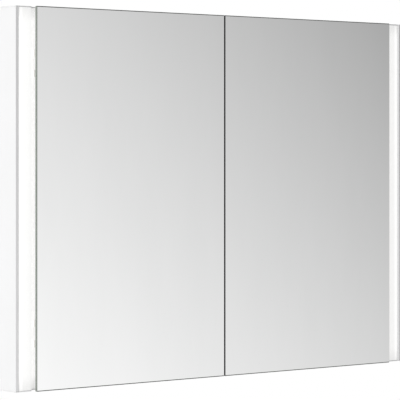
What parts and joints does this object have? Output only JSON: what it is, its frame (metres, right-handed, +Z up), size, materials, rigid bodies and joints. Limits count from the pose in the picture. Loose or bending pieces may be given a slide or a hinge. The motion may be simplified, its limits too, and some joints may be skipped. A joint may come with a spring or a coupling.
{
  "type": "medicine cabinet with mirror",
  "caption": "Wall-recessed bathroom cabinet with two frameless mirror doors, lit opal side strips in a slim silver frame, glass shelves and push buttons underneath.",
  "frame": {"origin": "centre of the four wall fixing holes, on the rear face of the back panel", "axes": "+Z up, +Y out of the back towards the wall, +X to the right of a person facing the doors"},
  "size_m": [1, 0.1585, 0.7093],
  "materials": {
    "anodised": "satin anodised",
    "back_sheet": "mill finish sheet",
    "frame_silver": "satin silver anodised",
    "mirror_glass": "silvered glass",
    "shelf_glass": "clear polished",
    "opal": "opal acrylic, lit",
    "foam": "closed-cell foam",
    "circuit_white": "solder mask",
    "circuit_green": "solder mask",
    "led": "phosphor",
    "ivory_plastic": "moulded",
    "dark_plastic": "moulded",
    "lead_sheath": "satin sheath",
    "bright_steel": "nickel plated",
    "screw_steel": "zinc plated",
    "button_metal": "turned and anodised",
    "silicone": "translucent silicone",
    "film": "bonding film"
  },
  "bodies": {
    "cabinet": {"box_side_left": "anodised", "box_side_right": "anodised", "box_top": "anodised", "box_bottom": "anodised", "back_panel": "back_sheet", "centre_divider": "anodised", "back_mirror_left": "mirror_glass", "back_mirror_right": "mirror_glass", "collar_top": "frame_silver", "collar_bottom": "frame_silver", "wall_gasket": "foam", "light_housing_left": "frame_silver", "light_housing_right": "frame_silver", "diffuser_left": "opal", "diffuser_right": "opal", "led_board_left": "circuit_white", "led_board_right": "circuit_white", "led_chips_left": "led", "led_chips_right": "led", "led_plugs": "ivory_plastic", "end_caps_left": "frame_silver", "end_caps_right": "frame_silver", "driver_box": "ivory_plastic", "driver_cover": "frame_silver", "cover_posts": "bright_steel", "terminal_block": "ivory_plastic", "cable_gland": "dark_plastic", "gland_nut": "dark_plastic", "supply_lead": "lead_sheath", "led_lead_left": "lead_sheath", "led_lead_right": "lead_sheath", "switch_lead": "lead_sheath", "switch_board": "circuit_green", "shelf_left_upper": "shelf_glass", "shelf_left_lower": "shelf_glass", "shelf_right_upper": "shelf_glass", "shelf_right_lower": "shelf_glass", "shelf_pins": "bright_steel", "hinge_arms_left": "bright_steel", "hinge_arms_right": "bright_steel", "hinge_pins_left": "bright_steel", "hinge_pins_right": "bright_steel", "hinge_screws": "screw_steel", "housing_screws": "screw_steel", "back_screws": "screw_steel", "collar_screws": "screw_steel", "cover_screws": "screw_steel", "door_bumpers": "silicone"},
    "left_door": {"door_left_front_pane": "mirror_glass", "door_left_film": "film", "door_left_rear_pane": "mirror_glass", "hinge_leaves_left": "bright_steel"},
    "right_door": {"door_right_front_pane": "mirror_glass", "door_right_film": "film", "door_right_rear_pane": "mirror_glass", "hinge_leaves_right": "bright_steel"},
    "power_button_body": {"power_button": "button_metal"},
    "colour_button_body": {"colour_button": "button_metal"}
  },
  "joints": [
    {"name": "left_door_hinge", "type": "hinge", "parent": "cabinet", "child": "left_door", "pos_m": [-0.446, -0.1475, 0], "axis": [0, 0, -1], "range_deg": [0, 105]},
    {"name": "right_door_hinge", "type": "hinge", "parent": "cabinet", "child": "right_door", "pos_m": [0.446, -0.1475, 0], "axis": [0, 0, 1], "range_deg": [0, 105]},
    {"name": "power_press", "type": "slide", "parent": "cabinet", "child": "power_button_body", "axis": [0, 0, 1], "range_m": [0, 0.0008], "stiffness_N_per_m": 3000},
    {"name": "colour_press", "type": "slide", "parent": "cabinet", "child": "colour_button_body", "axis": [0, 0, 1], "range_m": [0, 0.0008], "stiffness_N_per_m": 3000}
  ]
}
